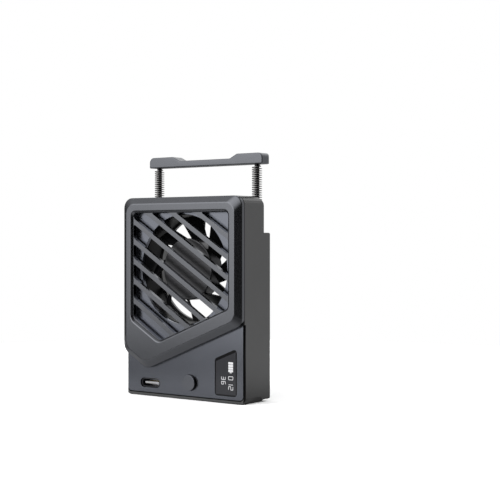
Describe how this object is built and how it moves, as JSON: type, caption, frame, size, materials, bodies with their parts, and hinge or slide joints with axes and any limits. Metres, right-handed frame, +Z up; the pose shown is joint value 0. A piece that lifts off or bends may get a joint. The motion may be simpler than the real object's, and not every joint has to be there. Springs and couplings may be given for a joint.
{
  "type": "camera cooling fan",
  "caption": "Slim battery cooling fan for the back of a camera: slanted louvred cover, bladed rotor, display, button and USB-C socket, with a sprung clamp arm on guide rods.",
  "frame": {"origin": "middle of the bottom end: the centre of the bounding box's lower face", "axes": "+Z up towards the clamp arm, +Y from the louvred cover back to the rails, +X to the right seen from the front"},
  "size_m": [0.056, 0.0208, 0.0904],
  "materials": {
    "cover_metal": "dark grey, fine bead-blasted and anodised, semi-gloss",
    "panel_metal": "dark grey anodised, fine satin",
    "shell_metal": "dark grey, fine bead-blasted and anodised, satin",
    "clamp_metal": "dark grey, fine bead-blasted and anodised",
    "rod_steel": "blackened steel, smooth",
    "spring_steel": "bright drawn spring steel",
    "bush_brass": "turned, smooth",
    "window_plastic": "smoked, clear and glossy",
    "display_plastic": "black, glossy",
    "ribbon_film": "amber film",
    "button_metal": "dark grey anodised, satin",
    "black_plastic": "black, moulded",
    "fan_plastic": "black, moulded, faint sheen",
    "plated_steel": "nickel plated",
    "board_green": "green solder resist",
    "white_plastic": "natural nylon",
    "cell_foil": "laminated foil pouch",
    "pad_foam": "closed-cell foam",
    "wire_cover": "soft insulation",
    "core_steel": "pressed steel",
    "coil_copper": "enamelled copper wire",
    "magnet_black": "bonded ferrite"
  },
  "bodies": {
    "casing": {"front_cover": "cover_metal", "front_panel": "panel_metal", "rear_shell": "shell_metal", "spring_left": "spring_steel", "spring_right": "spring_steel", "guide_bush_left": "bush_brass", "guide_bush_right": "bush_brass", "sleeve_bearing": "bush_brass", "display_window": "window_plastic", "display_module": "display_plastic", "tact_switch": "display_plastic", "display_ribbon": "ribbon_film", "board_chips": "black_plastic", "usb_tongue": "black_plastic", "fan_frame": "fan_plastic", "usb_shell": "plated_steel", "shell_screws": "plated_steel", "fan_screws": "plated_steel", "board_screws": "plated_steel", "temperature_sensor": "plated_steel", "main_board": "board_green", "motor_board": "board_green", "board_connectors": "white_plastic", "thrust_pad": "white_plastic", "battery_cell": "cell_foil", "battery_pad": "pad_foam", "battery_leads": "wire_cover", "fan_lead": "wire_cover", "stator_core": "core_steel", "stator_coils": "coil_copper"},
    "clamp": {"clamp_arm": "clamp_metal", "guide_rod_left": "rod_steel", "guide_rod_right": "rod_steel", "rod_clip_left": "spring_steel", "rod_clip_right": "spring_steel"},
    "rotor": {"impeller": "fan_plastic", "rotor_yoke": "core_steel", "rotor_magnet": "magnet_black", "fan_shaft": "plated_steel", "shaft_clip": "white_plastic"},
    "button": {"button_cap": "button_metal", "switch_plunger": "black_plastic"}
  },
  "joints": [
    {"name": "clamp_slide", "type": "slide", "parent": "casing", "child": "clamp", "axis": [0, 0, 1], "range_m": [-0.016, 0], "stiffness_N_per_m": 195, "springref_m": 0.004, "deforming": ["spring_left", "spring_right"]},
    {"name": "fan_spin", "type": "hinge", "parent": "casing", "child": "rotor", "pos_m": [0, 0, 0.0478], "axis": [0, 1, 0], "continuous": true},
    {"name": "button_press", "type": "slide", "parent": "casing", "child": "button", "axis": [0, 1, 0], "range_m": [0, 0.0004], "stiffness_N_per_m": 500, "springref_m": -0.0004}
  ]
}
